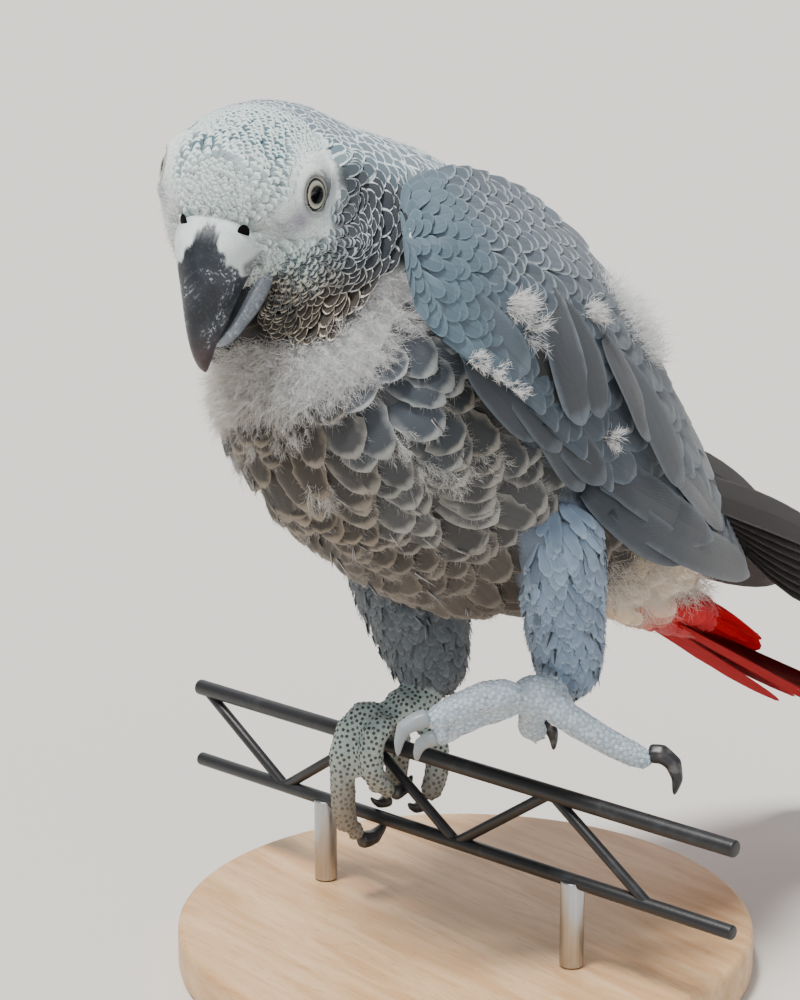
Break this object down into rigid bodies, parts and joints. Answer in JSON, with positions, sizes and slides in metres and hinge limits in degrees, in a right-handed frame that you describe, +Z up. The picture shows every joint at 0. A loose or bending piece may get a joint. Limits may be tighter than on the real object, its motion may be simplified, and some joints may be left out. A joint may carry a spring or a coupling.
{
  "type": "grey parrot model on a perch",
  "caption": "Life-size still model of a grey parrot gripping a wire perch with one foot and lifting the other, head lowered and turned, on a round display stand.",
  "frame": {"origin": "centre of the underside of the round stand, on the surface that it stands on", "axes": "+Z up; the bird's body faces -Y, its left side is +X, and its tail points to +Y"},
  "size_m": [0.149, 0.1968, 0.186],
  "materials": {
    "feathers_pale": "short pale blue-grey scalloped head feathers, bare white skin round the eyes",
    "feathers_grey": "grey feathers with pale edges",
    "feathers_breast": "brown-grey scalloped breast feathers with pale edges and loose down",
    "feathers_wing": "smooth blue-grey wing feathers",
    "feathers_dark": "brown-black flight feathers",
    "feathers_red": "scarlet tail feathers, frayed at the edges",
    "feathers_down": "pale down and vent feathers",
    "bill_horn": "charcoal horn, chalky scratches and powder",
    "eye": "moist pale iris with a round black pupil",
    "foot_skin": "scaly grey skin",
    "claw_horn": "dark smooth horn",
    "perch_wire": "black coated steel wire",
    "stand_steel": "brushed steel rod",
    "stand_wood": "turned beech, satin varnish"
  },
  "bodies": {
    "root": {"bill_lower": "bill_horn", "bill_upper": "bill_horn", "claw_left_1": "claw_horn", "claw_left_2": "claw_horn", "claw_left_3": "claw_horn", "claw_left_4": "claw_horn", "claw_right_1": "claw_horn", "claw_right_2": "claw_horn", "claw_right_3": "claw_horn", "claw_right_4": "claw_horn", "eye_left": "eye", "eye_right": "eye", "head": "feathers_pale", "neck": "feathers_grey", "perch_rail_lower": "perch_wire", "perch_rail_upper": "perch_wire", "perch_strut_1": "perch_wire", "perch_strut_2": "perch_wire", "perch_strut_3": "perch_wire", "perch_strut_4": "perch_wire", "perch_strut_5": "perch_wire", "shank_left": "foot_skin", "shank_right": "foot_skin", "stand_base": "stand_wood", "stand_rod_1": "stand_steel", "stand_rod_2": "stand_steel", "tail_coverts": "feathers_down", "tail_feathers": "feathers_red", "thigh_left": "feathers_grey", "thigh_right": "feathers_grey", "toe_left_1": "foot_skin", "toe_left_2": "foot_skin", "toe_left_3": "foot_skin", "toe_left_4": "foot_skin", "toe_right_1": "foot_skin", "toe_right_2": "foot_skin", "toe_right_3": "foot_skin", "toe_right_4": "foot_skin", "trunk": "feathers_breast", "wing_left_coverts": "feathers_wing", "wing_left_primaries": "feathers_dark", "wing_left_secondaries": "feathers_wing", "wing_right_coverts": "feathers_wing", "wing_right_primaries": "feathers_dark", "wing_right_secondaries": "feathers_wing"}
  },
  "joints": []
}
